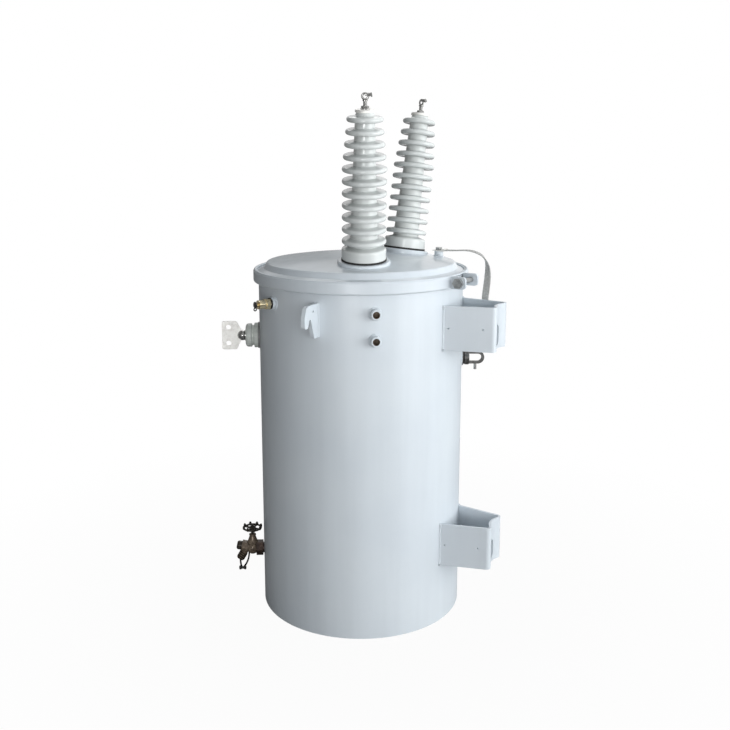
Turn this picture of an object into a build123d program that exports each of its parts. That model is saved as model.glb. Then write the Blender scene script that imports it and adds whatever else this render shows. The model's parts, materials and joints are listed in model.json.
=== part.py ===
from build123d import *
import os
from math import cos, radians, sin, sqrt, tan

# Pole mounted distribution transformer, in millimetres.
# The origin is the centre of the tank's foot, +Z is up and +X points at the pole.
# Left is the -Y side, right is the +Y side.

# General clearances
weld_gap = 0.2
running_gap = 0.05
cut_overrun = 30.0

# Wires and straps turn in arcs that take up this share of the shorter run
bend_share = 0.45

# Tank
tank_radius = 277.5
tank_wall_thickness = 3.2
tank_height = 929.0
tank_rim_reach = 9.0
tank_rim_depth = 14.2
tank_rim_round = 3.5
base_recess = 20.0
base_thickness = 5.0
oil_headroom = 130.0

# Cover: a low dome with an upright skirt and a sloping flange
cover_gasket_thickness = 6.0
cover_gasket_width = 19.0
cover_thickness = 3.2
cover_flange_rise = 9.5
cover_skirt_inset = 14.0
cover_skirt_slope = 32.0
cover_skirt_height = 15.5
cover_edge_round = 7.0
cover_crown_rise = 20.0
bushing_pad_radius = 68.0
bushing_pad_round = 4.0

# Clamp band: a rolled channel that grips the cover flange and the tank rim
band_reach = 4.7
band_thickness = 2.5
band_lip_grip = 6.4
band_corner = 5.0
band_grip_gap = 0.3
band_split_angle = -5.0
band_split_width = 70.0
band_ear_thickness = 8.0
band_ear_reach = 36.0
band_ear_round = 9.0
band_bolt_offset = 18.0
band_bolt_radius = 6.5
band_bolt_tail = 24.0
band_bolt_head_flats = 24.0
band_bolt_head_height = 10.0

# High voltage bushings, measured along their own axis from the pad
hv_seat_inset = 101.87
hv_seat_rise = 20.5
hv_seat_angle = 62.4
hv_tilt = 8.3
hv_gasket_thickness = 5.0
hv_gasket_radius = 58.0
hv_base_radius = 57.0
hv_base_height = 26.0
hv_base_round = 6.0
hv_shed_count = 11
hv_first_shed = 49.0
hv_shed_pitch = 30.4
hv_shed_radius = 56.5
hv_top_shed_radius = 45.3
hv_taper_sheds = 4
hv_shed_rim = 12.4
hv_shed_rim_round = 5.9
hv_shed_fall = 3.6
hv_shed_undercut = 1.4
hv_shed_root_round = 3.0
hv_core_radius_low = 36.4
hv_core_radius_high = 24.1
hv_neck_radius = 21.2
hv_neck_height = 17.5
hv_cap_radius = 24.6
hv_cap_height = 7.0
hv_stud_radius = 5.0
hv_nut_flats = 17.0
hv_nut_height = 6.0
hv_eye_height = 28.5
hv_eye_radius = 12.5
hv_eye_bore_radius = 5.6
hv_eye_thickness = 13.0
hv_clamp_radius = 5.0
hv_clamp_flats = 15.0
hv_clamp_reach = 22.0

# Hanger brackets: bent plate with flared cheeks and a hollow web for the pole
hanger_spacing = 590.55
hanger_height = 116.0
upper_hanger_drop = 177.0
hanger_plate = 6.0
hanger_foot_width = 152.0
hanger_face_width = 98.0
hanger_reach = 131.0
hanger_saddle_depth = 21.0
hanger_bend_radius = 13.0
hanger_slot_width = 22.0
hanger_slot_length = 56.0
hanger_slot_edge = 8.0
hanger_hole_radius = 2.5
hanger_near_hole = 2.5
hanger_far_hole = 41.5

# Lifting lugs: hook plates on the two sides, with a narrow throat open downwards
lug_angle = 88.6
lug_thickness = 10.0
lug_drop = 125.5
lug_height = 85.5
lug_reach = 75.0
lug_leg_width = 23.0
lug_leg_round = 6.0
lug_throat_reach = 45.0
lug_throat_height = 60.0
lug_throat_round = 5.0
lug_tip_width = 18.0
lug_tip_rise = 31.0
lug_tip_round = 8.0
lug_shoulder_width = 63.0
lug_shoulder_height = 57.0
lug_shoulder_round = 14.0
lug_hole_radius = 3.5
lug_hole_reach = 28.0
lug_hole_drop = 17.0

# Arrester bosses
arrester_angle = 58.0
arrester_drops = (64.0, 131.0)
arrester_boss_radius = 13.5
arrester_boss_length = 22.0
arrester_bore_radius = 9.0
arrester_bore_depth = 18.0
arrester_boss_chamfer = 2.0

# Pressure relief valve
relief_angle = -119.0
relief_drop = 56.0
relief_boss_radius = 15.0
relief_boss_length = 10.0
relief_washer_radius = 14.5
relief_washer_thickness = 4.0
relief_hex_flats = 25.0
relief_hex_length = 12.0
relief_body_radius = 11.5
relief_body_length = 20.0
relief_bore_radius = 4.05
relief_disc_radius = 11.0
relief_disc_thickness = 5.0
relief_disc_gap = 5.0
relief_rod_depth = 14.0
relief_ring_radius = 9.0
relief_ring_wire = 1.3

# Low voltage bushings
lv_angle = 152.5
lv_drop = 170.0
lv_gasket_radius = 36.0
lv_gasket_thickness = 4.0
lv_flange_radius = 34.0
lv_flange_length = 10.5
lv_groove_radius = 27.5
lv_groove_length = 6.5
lv_bulge_radius = 32.0
lv_bulge_length = 17.0
lv_edge_round = 2.0
lv_front_round = 8.0
lv_dome_radius = 14.0
lv_dome_rise = 9.0
lv_spade_height = 78.0
lv_spade_width = 40.0
lv_spade_thickness = 6.0
lv_spade_shoulder = 16.5
lv_spade_corner = 6.0
lv_spade_hole_radius = 7.1
lv_spade_hole_spacing = 44.45
lv_spade_hole_inset = 18.0

# Drain valve, measured outwards and upwards from its inlet on the tank
drain_angle = -152.5
drain_height = 138.0
drain_nipple_radius = 15.0
drain_nipple_length = 3.0
drain_hex_flats = 38.0
drain_hex_length = 19.0
drain_body_distance = 33.0
drain_body_radius = 18.0
drain_run_radius = 13.0
drain_run_length = 32.0
drain_run_rise = 12.0
drain_run_hex_flats = 29.0
drain_run_hex_start = 15.0
drain_cap_radius = 12.5
drain_cap_round = 6.0
drain_cap_length = 14.0
drain_outlet_radius = 10.0
drain_outlet_offset = 18.0
drain_outlet_length = 15.0
drain_outlet_fall = 60.0
drain_plug_radius = 11.5
drain_plug_length = 22.0
drain_plug_ribs = 4
drain_plug_rib_depth = 1.2
drain_bonnet_base_radius = 10.8
drain_bonnet_top_radius = 7.5
drain_bonnet_height = 25.0
drain_stem_radius = 4.0
drain_stem_depth = 14.0
drain_stem_length = 13.0
drain_wheel_radius = 28.0
drain_wheel_lobes = 10
drain_wheel_lobe_radius = 4.2
drain_wheel_grip_radius = 3.6
drain_wheel_grip_rise = 6.0
drain_wheel_rim = 6.0
drain_wheel_thickness = 7.0
drain_wheel_hub_radius = 7.0
drain_wheel_spoke_width = 5.0
drain_wheel_spokes = 4
seal_wire_radius = 1.1
seal_wire_lead = 5.0
seal_wire_gap = 0.7
seal_distance = 64.0
seal_root_fall = 53.0
seal_drop = 61.5
lead_seal_radius = 3.5
lead_seal_length = 15.0

# Tank ground connector
ground_angle = 24.5
ground_drop = 235.5
ground_flange_radius = 21.0
ground_flange_length = 5.0
ground_ring_radius = 18.5
ground_ring_length = 4.0
ground_body_radius = 19.5
ground_body_length = 12.0
ground_loop_width = 36.0
ground_loop_reach = 43.0
ground_loop_bar = 8.0
ground_screw_radius = 4.0
ground_screw_length = 16.0

# Cover ground boss and the bonding strap to the upper hanger
cover_boss_inset = 31.37
cover_boss_angle = 40.0
cover_boss_radius = 12.0
cover_boss_height = 15.0
cover_bolt_radius = 5.0
cover_bolt_flats = 17.0
cover_bolt_head = 7.0
cover_bolt_depth = 12.0
strap_width = 22.0
strap_tube_radius = 3.0
strap_lug_length = 28.0
strap_lug_thickness = 3.0
strap_ferrule_length = 10.0
strap_ferrule_thickness = 7.0
strap_heading = -12.0
strap_end_gap = 0.4
strap_bolt_reach = 54.0
strap_bolt_rise = 72.5
strap_nut_height = 8.0
strap_route = [
    (216.5, 134.8, 985.8),
    (242.1, 129.4, 988.7),
    (268.7, 124.0, 989.7),
    (294.3, 118.6, 985.3),
    (313.2, 113.7, 973.5),
    (323.6, 108.8, 954.8),
    (327.6, 102.4, 932.1),
    (329.2, 92.5, 909.5),
    (330.6, 79.7, 888.8),
    (331.7, 69.2, 870.1),
]

# Worked out levels
inner_radius = tank_radius - tank_wall_thickness
rim_radius = tank_radius + tank_rim_reach
cover_radius = rim_radius
cover_skirt_radius = tank_radius - cover_skirt_inset
band_radius = rim_radius + band_reach
band_lip_radius = rim_radius - band_lip_grip
flange_top_out = tank_height + cover_gasket_thickness + cover_thickness
flange_top_in = flange_top_out + cover_flange_rise
cover_edge_z = flange_top_in + cover_skirt_height
skirt_lean = tan(radians(cover_skirt_slope))
edge_reach = cover_edge_round * cos(radians(cover_skirt_slope))
edge_lift = cover_edge_round * sin(radians(cover_skirt_slope))
edge_drop = cover_skirt_height - cover_edge_round + edge_lift
cover_edge_radius = cover_skirt_radius - edge_drop * skirt_lean
crown_radius = cover_edge_radius - edge_reach
skirt_inside = cover_skirt_radius + cover_thickness * skirt_lean
skirt_inside = skirt_inside - cover_thickness / cos(radians(cover_skirt_slope))
flange_slope = cover_flange_rise / (cover_radius - cover_skirt_radius)
flange_under_slope = cover_flange_rise / (cover_radius - skirt_inside)
hv_seat_radius = cover_edge_radius - hv_seat_inset
hv_seat_height = cover_edge_z + hv_seat_rise
hv_porcelain_top = hv_first_shed + (hv_shed_count - 1) * hv_shed_pitch + hv_neck_height
hv_cap_top = hv_porcelain_top + hv_cap_height
upper_hanger_bottom = tank_height - upper_hanger_drop
lower_hanger_bottom = upper_hanger_bottom - hanger_spacing
lug_bottom = tank_height - lug_drop
relief_height = tank_height - relief_drop
lv_height = tank_height - lv_drop
ground_height = tank_height - ground_drop
cover_boss_distance = cover_edge_radius - cover_boss_inset
strap_bolt_distance = tank_radius + strap_bolt_reach
strap_bolt_height = upper_hanger_bottom + strap_bolt_rise
lv_front = lv_gasket_thickness + lv_flange_length + lv_groove_length + lv_bulge_length
parts = {}


def dome_z(radius):
    """Height of the cover's crown above a radius."""
    return cover_edge_z + cover_crown_rise * (1 - (radius / crown_radius) ** 2)


def radial_plane(angle, height, distance):
    """A frame on the tank: local Z points outwards, local Y up and local X along the wall."""
    a = radians(angle)
    return Plane(
        origin=(distance * cos(a), distance * sin(a), height),
        x_dir=(-sin(a), cos(a), 0),
        z_dir=(cos(a), sin(a), 0),
    )


def wall_plane(angle, height):
    return radial_plane(angle, height, tank_radius)


def turned(points):
    """A body turned about local Z from its outline of (radius, height) points."""
    outline = Polyline(*[(r, 0, z) for r, z in points], close=True)
    return revolve(make_face(outline), Axis.Z)


def corners(profile, places):
    """The corners of a flat outline that lie at the given places."""
    return [profile.vertices().sort_by_distance(place)[0] for place in places]


def rod(radius, low, high):
    """A round bar along local Z between two heights."""
    bar = Cylinder(radius, high - low, align=(Align.CENTER, Align.CENTER, Align.MIN))
    return Pos(0, 0, low) * bar


def hex_bar(flats, low, high):
    """A six sided bar along local Z between two heights."""
    profile = RegularPolygon(flats / 2, 6, major_radius=False)
    return Pos(0, 0, low) * extrude(profile, high - low)


def clear_of_tank(shape):
    """Cut a welded piece back to the tank's round wall."""
    return shape - rod(tank_radius + weld_gap, -cut_overrun, tank_height + cut_overrun)


def mirrored(shape):
    """The same piece on the other side of the pole plane."""
    return mirror(shape, about=Plane.XZ)


def make_tank():
    wall = rod(tank_radius, 0, tank_height)
    parts["tank_wall"] = wall - rod(inner_radius, -cut_overrun, tank_height + cut_overrun)
    rim = rod(rim_radius, tank_height - tank_rim_depth, tank_height)
    rim = fillet(rim.edges(), tank_rim_round)
    parts["tank_rim"] = clear_of_tank(rim)
    base_top = base_recess + base_thickness
    parts["tank_base"] = rod(inner_radius - weld_gap, base_recess, base_top)
    parts["core_and_oil_fill"] = rod(inner_radius - weld_gap, base_top, tank_height - oil_headroom)


def crown_arc(drop):
    """The dome's line from the middle to its rounded edge, lowered by a plate thickness."""
    middle = crown_radius / 2
    return ThreePointArc(
        (0, 0, dome_z(0) - drop),
        (middle, 0, dome_z(middle) - drop),
        (crown_radius, 0, dome_z(crown_radius) - drop),
    )


def edge_arc(drop):
    """The rounded edge from the dome to the sloping skirt."""
    size = cover_edge_round - drop
    end = radians(cover_skirt_slope)
    middle = radians((cover_skirt_slope + 90) / 2)
    centre_z = cover_edge_z - cover_edge_round
    return ThreePointArc(
        (crown_radius, 0, centre_z + size),
        (crown_radius + size * cos(middle), 0, centre_z + size * sin(middle)),
        (crown_radius + size * cos(end), 0, centre_z + size * sin(end)),
    )


def hv_plane(side):
    """The pad that a high voltage bushing stands on, leaning outwards from the middle."""
    a = radians(side * hv_seat_angle)
    lean = radians(hv_tilt)
    return Plane(
        origin=(hv_seat_radius * cos(a), hv_seat_radius * sin(a), hv_seat_height),
        x_dir=(-sin(a), cos(a), 0),
        z_dir=(cos(a) * sin(lean), sin(a) * sin(lean), cos(lean)),
    )


def make_cover():
    t = cover_thickness
    crown, under = crown_arc(0), crown_arc(t)
    edge, under_edge = edge_arc(0), edge_arc(t)
    outer = Polyline(
        edge @ 1,
        (cover_skirt_radius, 0, flange_top_in),
        (cover_radius, 0, flange_top_out),
        (cover_radius, 0, flange_top_out - t),
        (skirt_inside, 0, flange_top_in - t),
        under_edge @ 1,
    )
    axis_line = Line(under @ 0, crown @ 0)
    section = make_face([crown, edge, *outer.edges(), under_edge, under, axis_line])
    shell = revolve(section, Axis.Z)
    foot = (cover_edge_radius - t, 0, tank_height)
    floor = Polyline(under_edge @ 1, foot, (0, 0, tank_height), under @ 0)
    hollow = revolve(make_face([under, under_edge, *floor.edges()]), Axis.Z)
    pads = []
    for side in (-1, 1):
        pad = rod(bushing_pad_radius, -cut_overrun, 0)
        pad = fillet(pad.edges().group_by(Axis.Z)[-1], bushing_pad_round)
        pads.append(hv_plane(side) * pad - hollow)
    parts["cover"] = shell + pads[0] + pads[1]
    gasket_in = rim_radius - cover_gasket_width
    gasket_top = flange_top_out - t - weld_gap
    gasket_rise = flange_under_slope * cover_gasket_width
    gasket = [
        (gasket_in, tank_height),
        (rim_radius, tank_height),
        (rim_radius, gasket_top),
        (gasket_in, gasket_top + gasket_rise),
    ]
    parts["cover_gasket"] = turned(gasket)


def make_band():
    t = band_thickness
    lip_low = tank_height - tank_rim_depth - band_grip_gap
    lip_rise = flange_slope * (cover_radius - band_lip_radius)
    lip_high = flange_top_out + lip_rise + band_grip_gap
    outside = [(band_radius, lip_low - t), (band_radius, lip_high + t)]
    inside = [(band_radius - t, lip_high), (band_radius - t, lip_low)]
    upper_lip = [(band_lip_radius, lip_high + t), (band_lip_radius, lip_high)]
    lower_lip = [(band_lip_radius, lip_low), (band_lip_radius, lip_low - t)]
    profile = make_face(Polyline(*outside, *upper_lip, *inside, *lower_lip, close=True))
    profile = fillet(corners(profile, outside), band_corner)
    profile = fillet(corners(profile, inside), band_corner - t)
    ring = Rot(0, 0, band_split_angle) * revolve(Plane.XZ * profile, Axis.Z)
    level = (lip_low + lip_high) / 2
    frame = radial_plane(band_split_angle, level, band_radius)
    gap = Box(band_split_width, band_radius, 2 * band_radius)
    ring = ring - frame * gap
    ear_height = lip_high - lip_low + 2 * t
    chord = band_split_width / 2
    sag = band_radius - sqrt(band_radius**2 - (chord + band_ear_thickness) ** 2)
    ears = []
    for side in (-1, 1):
        tab = Rectangle(ear_height, band_ear_reach + sag, align=(Align.CENTER, Align.MIN))
        tab = fillet(tab.vertices().group_by(Axis.Y)[-1], band_ear_round)
        tab = Plane.YZ * Pos(0, -sag) * tab
        ear = Pos(side * chord) * extrude(tab, side * band_ear_thickness)
        ears.append(frame * ear)
    bolt_frame = frame * Pos(0, 0, band_bolt_offset) * Rot(0, 90, 0)
    hole = rod(band_bolt_radius + band_grip_gap, -band_split_width, band_split_width)
    band = ring
    inside = rod(band_radius - t / 2, 0, 2 * tank_height)
    for ear in ears:
        band = band + (ear - inside)
    parts["clamp_band"] = band - bolt_frame * hole
    outside = chord + band_ear_thickness
    bolt = rod(band_bolt_radius, -outside - band_bolt_tail, outside)
    bolt = bolt + hex_bar(band_bolt_head_flats, outside, outside + band_bolt_head_height)
    bolt = bolt + hex_bar(band_bolt_head_flats, -outside - band_bolt_head_height, -outside)
    parts["clamp_bolt"] = bolt_frame * Rot(180, 0, 0) * bolt


def shed_radius(index):
    """Sheds taper in towards the top; index 0 is the lowest."""
    from_top = hv_shed_count - 1 - index
    if from_top >= hv_taper_sheds:
        return hv_shed_radius
    share = from_top / hv_taper_sheds
    return hv_top_shed_radius + (hv_shed_radius - hv_top_shed_radius) * share


def core_radius(height):
    share = (height - hv_gasket_thickness) / (hv_porcelain_top - hv_gasket_thickness)
    return hv_core_radius_low + (hv_core_radius_high - hv_core_radius_low) * share


def porcelain():
    """The bushing's body: a stepped base, sheds with round rims and sloping tops, and a neck."""
    base_top = hv_gasket_thickness + hv_base_height
    outline = [
        (0, hv_gasket_thickness),
        (hv_base_radius, hv_gasket_thickness),
        (hv_base_radius, base_top),
        (core_radius(base_top), base_top + hv_base_round),
    ]
    rims = [outline[2]]
    roots = [outline[3]]
    for i in range(hv_shed_count):
        middle = hv_first_shed + i * hv_shed_pitch
        low = middle - hv_shed_rim / 2
        high = middle + hv_shed_rim / 2
        under = (core_radius(low), low + hv_shed_undercut)
        over = (core_radius(high), high + hv_shed_fall)
        rim_low = (shed_radius(i), low)
        rim_high = (shed_radius(i), high)
        outline += [under, rim_low, rim_high, over]
        rims += [rim_low, rim_high]
        roots += [under, over]
    outline += [(hv_neck_radius, hv_porcelain_top), (0, hv_porcelain_top)]
    profile = make_face(Polyline(*outline, close=True))
    profile = fillet(corners(profile, rims), hv_shed_rim_round)
    profile = fillet(corners(profile, roots), hv_shed_root_round)
    return revolve(Plane.XZ * profile, Axis.Z)


def make_terminal():
    """Cap, stud, nut and eye connector on top of a bushing."""
    eye_z = hv_cap_top + hv_eye_height
    cap = rod(hv_cap_radius, hv_porcelain_top, hv_cap_top)
    cap = chamfer(cap.edges().group_by(Axis.Z)[-1], hv_cap_height / 4)
    stud = rod(hv_stud_radius, hv_porcelain_top, eye_z - hv_eye_bore_radius)
    nut = hex_bar(hv_nut_flats, hv_cap_top, hv_cap_top + hv_nut_height)
    across = Pos(0, hv_eye_thickness / 2, eye_z) * Rot(90, 0, 0)
    eye = across * rod(hv_eye_radius, 0, hv_eye_thickness)
    bore = across * rod(hv_eye_bore_radius, -cut_overrun, cut_overrun)
    clamp = Pos(0, 0, eye_z) * Rot(0, 90, 0) * rod(hv_clamp_radius, 0, hv_clamp_reach)
    head_low = hv_clamp_reach - hv_clamp_radius
    head = hex_bar(hv_clamp_flats, head_low, hv_clamp_reach)
    head = Pos(0, 0, eye_z) * Rot(0, 90, 0) * head
    return cap + stud + nut + eye + clamp + head - bore


def make_hv_bushings():
    body = porcelain()
    gasket = rod(hv_gasket_radius, 0, hv_gasket_thickness)
    terminal = make_terminal()
    for name, side in (("left", -1), ("right", 1)):
        seat = hv_plane(side)
        turn = Rot(0, 0, 0) if side < 0 else Rot(0, 0, 180)
        parts["hv_gasket_" + name] = seat * gasket
        parts["hv_bushing_" + name] = seat * body
        parts["hv_terminal_" + name] = seat * turn * terminal


def hanger_flare():
    """How much each cheek widens for each millimetre towards the tank."""
    foot_x = tank_radius * cos(hanger_foot_width / 2 / tank_radius)
    return (hanger_foot_width - hanger_face_width) / 2 / (tank_radius + hanger_reach - foot_x)


def cheek_plane(distance, height):
    """A frame on the right cheek's outer face: local Z points away from the plate, local Y up."""
    slope = hanger_flare()
    length = sqrt(1 + slope**2)
    y = hanger_face_width / 2 + slope * (tank_radius + hanger_reach - distance)
    return Plane(
        origin=(distance, y, height),
        x_dir=(-1 / length, slope / length, 0),
        z_dir=(slope / length, 1 / length, 0),
    )


def hanger_outline():
    """Plan of a hanger: two flared cheeks and a web hollowed to sit against a pole."""
    face_x = tank_radius + hanger_reach
    face = hanger_face_width / 2
    inside_x = tank_radius - hanger_foot_width
    inside_y = face + hanger_flare() * (face_x - inside_x)
    sides = Polyline((face_x, -face), (inside_x, -inside_y), (inside_x, inside_y), (face_x, face))
    saddle = ThreePointArc((face_x, face), (face_x - hanger_saddle_depth, 0), (face_x, -face))
    outline = make_face([*sides.edges(), saddle])
    return fillet(outline.vertices().group_by(Axis.X)[-1], hanger_bend_radius)


def make_hangers():
    outline = hanger_outline()
    plate = outline - offset(outline, amount=-hanger_plate)
    shell = extrude(plate, hanger_height)
    slot = SlotOverall(hanger_slot_length, hanger_slot_width)
    slot = extrude(slot, hanger_saddle_depth + hanger_plate)
    slot_z = hanger_slot_edge + hanger_slot_length / 2
    web_x = tank_radius + hanger_reach - hanger_saddle_depth
    shell = shell - Pos(web_x - 2 * hanger_plate, 0, slot_z) * Rot(0, 90, 0) * slot
    drill = Rot(90, 0, 0) * rod(hanger_hole_radius, -hanger_foot_width, hanger_foot_width)
    near_x = tank_radius + hanger_near_hole
    far_x = tank_radius + hanger_reach - hanger_far_hole
    for x in (near_x, far_x):
        shell = shell - Pos(x, 0, hanger_height / 2) * drill
    upper = clear_of_tank(Pos(0, 0, upper_hanger_bottom) * shell)
    bolt_hole = rod(cover_bolt_radius + weld_gap, -cut_overrun, cut_overrun)
    parts["upper_hanger"] = upper - cheek_plane(strap_bolt_distance, strap_bolt_height) * bolt_hole
    parts["lower_hanger"] = clear_of_tank(Pos(0, 0, lower_hanger_bottom) * shell)


def make_lifting_lugs():
    """Hook plates: a leg along the wall, a narrow throat and a rounded outer tip."""
    sink = lug_leg_width
    leg = (lug_leg_width, 0)
    throat = (lug_throat_reach, lug_throat_height)
    tips = [(lug_reach - lug_tip_width, lug_tip_rise), (lug_reach, lug_tip_rise)]
    shoulders = [(lug_reach, lug_shoulder_height), (lug_shoulder_width, lug_height)]
    outline = Polyline((-sink, 0), leg, throat, *tips, *shoulders, (-sink, lug_height), close=True)
    plate = make_face(outline)
    plate = fillet(corners(plate, [leg]), lug_leg_round)
    plate = fillet(corners(plate, [throat]), lug_throat_round)
    plate = fillet(corners(plate, tips), lug_tip_round)
    plate = fillet(corners(plate, shoulders), lug_shoulder_round)
    plate = plate - Pos(lug_hole_reach, lug_height - lug_hole_drop) * Circle(lug_hole_radius)
    blank = Plane.XZ * plate
    solid = Pos(tank_radius, lug_thickness / 2, lug_bottom) * extrude(blank, lug_thickness)
    lug = clear_of_tank(Rot(0, 0, -lug_angle) * solid)
    parts["lifting_lug_left"] = lug
    parts["lifting_lug_right"] = mirrored(lug)


def make_arrester_bosses():
    for level, drop in zip(("upper", "lower"), arrester_drops):
        seat = wall_plane(-arrester_angle, tank_height - drop)
        boss = rod(arrester_boss_radius, -arrester_boss_length / 2, arrester_boss_length)
        boss = chamfer(boss.edges().group_by(Axis.Z)[-1], arrester_boss_chamfer)
        low = arrester_boss_length - arrester_bore_depth
        boss = boss - rod(arrester_bore_radius, low, arrester_boss_length + cut_overrun)
        boss = clear_of_tank(seat * boss)
        parts["arrester_boss_" + level + "_left"] = boss
        parts["arrester_boss_" + level + "_right"] = mirrored(boss)


def make_relief_valve():
    seat = wall_plane(relief_angle, relief_height)
    washer_low = relief_boss_length
    hex_low = washer_low + relief_washer_thickness
    body_low = hex_low + relief_hex_length
    body_top = body_low + relief_body_length
    boss = rod(relief_boss_radius, -relief_boss_length, relief_boss_length)
    parts["relief_valve_boss"] = clear_of_tank(seat * boss)
    parts["relief_valve_washer"] = seat * rod(relief_washer_radius, washer_low, hex_low)
    body = hex_bar(relief_hex_flats, hex_low, body_low)
    body = body + rod(relief_body_radius, body_low, body_top)
    bore_low = body_top - relief_rod_depth - relief_disc_gap
    body = body - rod(relief_bore_radius, bore_low, body_top + cut_overrun)
    parts["relief_valve_body"] = seat * body
    disc_low = body_top + relief_disc_gap
    disc_top = disc_low + relief_disc_thickness
    pull = rod(relief_bore_radius - running_gap, body_top - relief_rod_depth, disc_low)
    pull = pull + rod(relief_disc_radius, disc_low, disc_top)
    ring_drop = relief_disc_radius + relief_ring_radius - 2 * relief_ring_wire
    ring_z = (disc_low + disc_top) / 2
    ring = Pos(0, -ring_drop, ring_z) * Torus(relief_ring_radius, relief_ring_wire)
    parts["relief_valve_pull"] = seat * (pull + ring)


def lv_bushing():
    """Flange against the wall, a shallow groove and a rounded bulge in front."""
    flange_top = lv_gasket_thickness + lv_flange_length
    groove_top = flange_top + lv_groove_length
    flange_edge = (lv_flange_radius, flange_top)
    groove = [(lv_groove_radius, flange_top), (lv_groove_radius, groove_top)]
    bulge_back = (lv_bulge_radius, groove_top)
    bulge_front = (lv_bulge_radius, lv_front)
    foot = [(0, lv_gasket_thickness), (lv_flange_radius, lv_gasket_thickness)]
    outline = Polyline(*foot, flange_edge, *groove, bulge_back, bulge_front, (0, lv_front), close=True)
    profile = make_face(outline)
    profile = fillet(corners(profile, [bulge_front]), lv_front_round)
    profile = fillet(corners(profile, [flange_edge, *groove, bulge_back]), lv_edge_round)
    return revolve(Plane.XZ * profile, Axis.Z)


def lv_terminal():
    """Round dome nut and the flat spade with its two bolt holes."""
    neck_z = lv_front + lv_dome_rise
    dome = Pos(0, 0, neck_z) * Sphere(lv_dome_radius)
    dome = dome - rod(lv_bulge_radius, lv_front - cut_overrun, lv_front)
    half = lv_spade_height / 2
    shoulder_z = neck_z + lv_spade_shoulder
    tip_z = shoulder_z + lv_spade_width
    outline = Polyline(
        (neck_z, -lv_dome_radius / 2),
        (shoulder_z, -half),
        (tip_z, -half),
        (tip_z, half),
        (shoulder_z, half),
        (neck_z, lv_dome_radius / 2),
        close=True,
    )
    blade = make_face(outline)
    blade = fillet(blade.vertices().filter_by(lambda v: v.X > neck_z), lv_spade_corner)
    hole_z = tip_z - lv_spade_hole_inset
    for side in (-1, 1):
        blade = blade - Pos(hole_z, side * lv_spade_hole_spacing / 2) * Circle(lv_spade_hole_radius)
    sheet = Plane.ZY * blade
    spade = extrude(sheet, lv_spade_thickness / 2, both=True)
    return dome + spade


def make_lv_bushings():
    gasket = rod(lv_gasket_radius, -lv_gasket_thickness, lv_gasket_thickness)
    pieces = {"gasket": gasket, "bushing": lv_bushing(), "terminal": lv_terminal()}
    seat = wall_plane(-lv_angle, lv_height)
    for name, piece in pieces.items():
        placed = clear_of_tank(seat * piece)
        parts["lv_" + name + "_left"] = placed
        parts["lv_" + name + "_right"] = mirrored(placed)


def globe_frame():
    """The middle of the drain valve's globe, on the inlet axis."""
    return Pos(0, 0, drain_body_distance)


def run_frame():
    """The run beyond the globe, which rises a little outwards."""
    return globe_frame() * Rot(-drain_run_rise, 0, 0)


def outlet_frame():
    """The outlet: local Z falls outwards and down from below the run."""
    return globe_frame() * Pos(0, 0, drain_outlet_offset) * Rot(drain_outlet_fall, 0, 0)


def upright_frame():
    """The stem: local Z points up from the middle of the globe."""
    return globe_frame() * Rot(-90, 0, 0)


def drain_body():
    """Globe with an inlet, a rising run with a nut, a bonnet seat and a falling outlet."""
    hex_top = drain_nipple_length + drain_hex_length
    inlet = rod(drain_run_radius, hex_top, drain_body_distance)
    run = run_frame() * rod(drain_run_radius, 0, drain_run_length)
    seat = upright_frame() * rod(drain_bonnet_base_radius, 0, drain_body_radius)
    nut = run_frame() * hex_bar(drain_run_hex_flats, drain_run_hex_start, drain_run_length)
    outlet = outlet_frame() * rod(drain_outlet_radius, 0, drain_outlet_length)
    body = globe_frame() * Sphere(drain_body_radius) + inlet + run + nut + seat + outlet
    return body - rod(drain_hex_flats, -cut_overrun, hex_top)


def make_drain_valve():
    seat = wall_plane(drain_angle, drain_height)
    hex_top = drain_nipple_length + drain_hex_length
    nipple = rod(drain_nipple_radius, -drain_nipple_length, drain_nipple_length)
    nipple = nipple + hex_bar(drain_hex_flats, drain_nipple_length, hex_top)
    parts["drain_nipple"] = clear_of_tank(seat * nipple)
    parts["drain_body"] = seat * drain_body()
    cap = rod(drain_cap_radius, drain_run_length, drain_run_length + drain_cap_length)
    cap = fillet(cap.edges().group_by(Axis.Z)[-1], drain_cap_round)
    parts["drain_end_cap"] = seat * run_frame() * cap
    plug = [(0, drain_outlet_length)]
    rib = drain_plug_length / (2 * drain_plug_ribs)
    for i in range(drain_plug_ribs):
        low = drain_outlet_length + 2 * i * rib
        plug += [
            (drain_plug_radius, low),
            (drain_plug_radius, low + rib),
            (drain_plug_radius - drain_plug_rib_depth, low + rib),
            (drain_plug_radius - drain_plug_rib_depth, low + 2 * rib),
        ]
    plug.append((0, drain_outlet_length + drain_plug_length))
    parts["drain_plug"] = seat * outlet_frame() * turned(plug)
    upright = seat * upright_frame()
    bonnet_top = drain_body_radius + drain_bonnet_height
    bonnet = turned(
        [
            (0, drain_body_radius),
            (drain_bonnet_base_radius, drain_body_radius),
            (drain_bonnet_base_radius, drain_body_radius + drain_bonnet_height / 4),
            (drain_bonnet_top_radius, bonnet_top - drain_bonnet_height / 4),
            (drain_bonnet_top_radius, bonnet_top),
            (0, bonnet_top),
        ]
    )
    bore_low = bonnet_top - drain_stem_depth - running_gap
    bore = rod(drain_stem_radius + running_gap, bore_low, bonnet_top + cut_overrun)
    parts["drain_bonnet"] = upright * (bonnet - bore)
    parts["drain_handwheel"] = upright * drain_handwheel(bonnet_top)


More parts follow.
